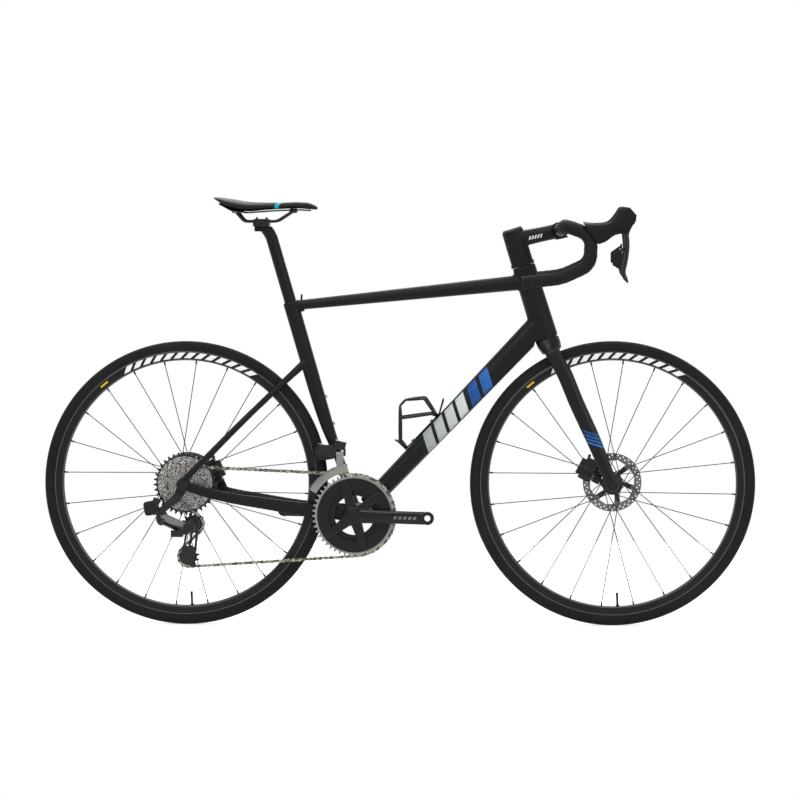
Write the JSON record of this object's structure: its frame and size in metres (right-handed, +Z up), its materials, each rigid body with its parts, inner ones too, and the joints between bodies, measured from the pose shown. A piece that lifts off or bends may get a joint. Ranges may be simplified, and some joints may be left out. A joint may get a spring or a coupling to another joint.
{
  "type": "road bicycle",
  "caption": "Drop-bar road bicycle with disc brakes, chain drive with derailleurs, deep one-piece frame, narrow saddle and a bottle cage.",
  "frame": {"origin": "on the ground, half-way between the two wheel centres, in the bicycle's middle plane", "axes": "+X forwards along the wheelbase, +Y to the rider's left, +Z up; the chain is on the -Y side"},
  "size_m": [1.6949, 0.4622, 1.0205],
  "materials": {
    "bar_tape": "textured wrap",
    "black_alloy": "black anodised",
    "black_plastic": "matte black",
    "brake_pad": "matte",
    "carbon_frame": "gloss black",
    "carbon_parts": "satin black",
    "chain_steel": "bright",
    "dark_steel": "blackened",
    "hood_rubber": "matte",
    "saddle_cover": "matte",
    "steel": "brushed",
    "tyre": "matte"
  },
  "bodies": {
    "frame": {"frame": "carbon_frame", "seatpost_wedge": "black_alloy", "bottom_bracket_cups": "black_alloy", "headset_bearings": "dark_steel", "rear_thru_axle": "black_alloy", "derailleur_hanger": "black_alloy", "frame_bolts": "steel", "bottle_cage": "black_plastic", "rear_caliper": "black_alloy", "rd_body": "black_alloy", "fd_body": "black_alloy", "chain": "chain_steel"},
    "seat": {"seatpost": "carbon_parts", "saddle_clamp": "black_alloy", "saddle_rails": "steel", "saddle_shell": "black_plastic", "saddle_cover": "saddle_cover"},
    "steering": {"fork": "carbon_frame", "headset_spacers": "carbon_parts", "stem": "black_alloy", "stem_faceplate": "black_alloy", "stem_bolts": "dark_steel", "handlebar": "carbon_parts", "bar_tape": "bar_tape", "bar_end_plugs": "black_plastic", "hoods": "hood_rubber", "lever_bodies": "black_alloy", "front_caliper": "black_alloy", "front_thru_axle": "black_alloy"},
    "front_wheel": {"front_tyre": "tyre", "front_rim": "black_alloy", "front_spokes": "dark_steel", "front_hub": "black_alloy", "front_rotor": "steel"},
    "rear_wheel": {"rear_tyre": "tyre", "rear_rim": "black_alloy", "rear_spokes": "dark_steel", "rear_hub": "black_alloy", "rear_rotor": "steel"},
    "cassette": {"cassette": "chain_steel"},
    "crankset": {"crank_arm_right": "carbon_parts", "crank_arm_left": "carbon_parts", "chainrings": "black_alloy", "chainring_bolts": "dark_steel", "crank_spindle": "dark_steel"},
    "fd_cage": {"fd_cage": "steel"},
    "rd_outer_link": {"rd_outer_link": "black_alloy"},
    "rd_inner_link": {"rd_inner_link": "black_alloy"},
    "rd_knuckle": {"rd_knuckle": "black_alloy"},
    "rd_cage": {"rd_cage": "black_alloy"},
    "guide_pulley": {"guide_pulley": "black_plastic"},
    "tension_pulley": {"tension_pulley": "black_plastic"},
    "front_brake_pad_left": {"front_brake_pad_left": "brake_pad"},
    "front_brake_pad_right": {"front_brake_pad_right": "brake_pad"},
    "rear_brake_pad_left": {"rear_brake_pad_left": "brake_pad"},
    "rear_brake_pad_right": {"rear_brake_pad_right": "brake_pad"},
    "brake_lever_left": {"brake_lever_left": "black_alloy"},
    "brake_lever_right": {"brake_lever_right": "black_alloy"},
    "shift_paddle_left": {"shift_paddle_left": "black_plastic"},
    "shift_paddle_right": {"shift_paddle_right": "black_plastic"}
  },
  "joints": [
    {"name": "steering", "type": "hinge", "parent": "frame", "child": "steering", "pos_m": [0.3525, 0, 0.684], "axis": [-0.2957, 0, 0.9553], "range_deg": [-60, 60]},
    {"name": "seatpost_height", "type": "slide", "parent": "frame", "child": "seat", "axis": [-0.2773, 0, 0.9608], "range_m": [-0.05, 0.05]},
    {"name": "front_wheel_spin", "type": "hinge", "parent": "steering", "child": "front_wheel", "pos_m": [0.5085, 0, 0.339], "axis": [0, 1, 0], "continuous": true},
    {"name": "rear_wheel_spin", "type": "hinge", "parent": "frame", "child": "rear_wheel", "pos_m": [-0.5085, 0, 0.339], "axis": [0, 1, 0], "continuous": true},
    {"name": "crank_spin", "type": "hinge", "parent": "frame", "child": "crankset", "pos_m": [-0.10422, 0, 0.265], "axis": [0, 1, 0], "continuous": true, "deforming": ["chain"]},
    {"name": "cassette_spin", "type": "hinge", "parent": "frame", "child": "cassette", "pos_m": [-0.5085, 0, 0.339], "axis": [0, 1, 0], "continuous": true},
    {"name": "front_derailleur_shift", "type": "hinge", "parent": "frame", "child": "fd_cage", "pos_m": [-0.13822, -0.041, 0.412], "axis": [1, 0, 0], "range_deg": [0, 7.5], "deforming": ["chain"]},
    {"name": "rear_derailleur_shift", "type": "hinge", "parent": "frame", "child": "rd_outer_link", "pos_m": [-0.555, -0.092, 0.265], "axis": [0.3125, 0.6428, 0.6994], "range_deg": [-36, 20], "deforming": ["chain"]},
    {"name": "rear_derailleur_inner_link", "type": "hinge", "parent": "frame", "child": "rd_inner_link", "pos_m": [-0.5592, -0.07974, 0.25561], "axis": [0.3125, 0.6428, 0.6994], "range_deg": [-36, 20]},
    {"name": "rear_derailleur_knuckle", "type": "hinge", "parent": "rd_outer_link", "child": "rd_knuckle", "pos_m": [-0.508, -0.092, 0.244], "axis": [0.3125, 0.6428, 0.6994], "range_deg": [-20, 36]},
    {"name": "rear_derailleur_cage", "type": "hinge", "parent": "rd_knuckle", "child": "rd_cage", "pos_m": [-0.488, -0.043, 0.244], "axis": [0, 1, 0], "range_deg": [-50, 30], "stiffness_Nm_per_rad": 0.35, "deforming": ["chain"]},
    {"name": "guide_pulley_spin", "type": "hinge", "parent": "rd_cage", "child": "guide_pulley", "pos_m": [-0.488, -0.043, 0.244], "axis": [0, 1, 0], "continuous": true},
    {"name": "tension_pulley_spin", "type": "hinge", "parent": "rd_cage", "child": "tension_pulley", "pos_m": [-0.50004, -0.043, 0.16643], "axis": [0, 1, 0], "continuous": true},
    {"name": "brake_lever_right", "type": "hinge", "parent": "steering", "child": "brake_lever_right", "pos_m": [0.53588, -0.208, 0.94762], "axis": [0, 1, 0], "range_deg": [0, 20], "stiffness_Nm_per_rad": 0.6},
    {"name": "brake_lever_left", "type": "hinge", "parent": "steering", "child": "brake_lever_left", "pos_m": [0.53588, 0.208, 0.94762], "axis": [0, 1, 0], "range_deg": [0, 20], "stiffness_Nm_per_rad": 0.6},
    {"name": "shift_paddle_right", "type": "hinge", "parent": "brake_lever_right", "child": "shift_paddle_right", "pos_m": [0.53168, -0.208, 0.94762], "axis": [0, 0, 1], "range_deg": [0, 8], "stiffness_Nm_per_rad": 0.1},
    {"name": "shift_paddle_left", "type": "hinge", "parent": "brake_lever_left", "child": "shift_paddle_left", "pos_m": [0.53168, 0.208, 0.94762], "axis": [0, 0, -1], "range_deg": [0, 8], "stiffness_Nm_per_rad": 0.1},
    {"name": "front_pad_left", "type": "slide", "parent": "steering", "child": "front_brake_pad_left", "axis": [0, -1, 0], "range_m": [0, 0.0004]},
    {"name": "front_pad_right", "type": "slide", "parent": "steering", "child": "front_brake_pad_right", "axis": [0, 1, 0], "range_m": [0, 0.0004]},
    {"name": "rear_pad_left", "type": "slide", "parent": "frame", "child": "rear_brake_pad_left", "axis": [0, -1, 0], "range_m": [0, 0.0004]},
    {"name": "rear_pad_right", "type": "slide", "parent": "frame", "child": "rear_brake_pad_right", "axis": [0, 1, 0], "range_m": [0, 0.0004]}
  ],
  "couplings": [
    {"joint": "cassette_spin", "follows": "crank_spin", "ratio": 2.2857},
    {"joint": "tension_pulley_spin", "follows": "crank_spin", "ratio": 4},
    {"joint": "guide_pulley_spin", "follows": "crank_spin", "ratio": -4},
    {"joint": "rear_derailleur_inner_link", "follows": "rear_derailleur_shift", "ratio": 1},
    {"joint": "rear_derailleur_knuckle", "follows": "rear_derailleur_shift", "ratio": -1},
    {"joint": "rear_pad_left", "follows": "brake_lever_right", "m_per_rad": 0.001145},
    {"joint": "front_pad_left", "follows": "brake_lever_left", "m_per_rad": 0.001145},
    {"joint": "rear_pad_right", "follows": "brake_lever_right", "m_per_rad": 0.001145},
    {"joint": "front_pad_right", "follows": "brake_lever_left", "m_per_rad": 0.001145}
  ]
}
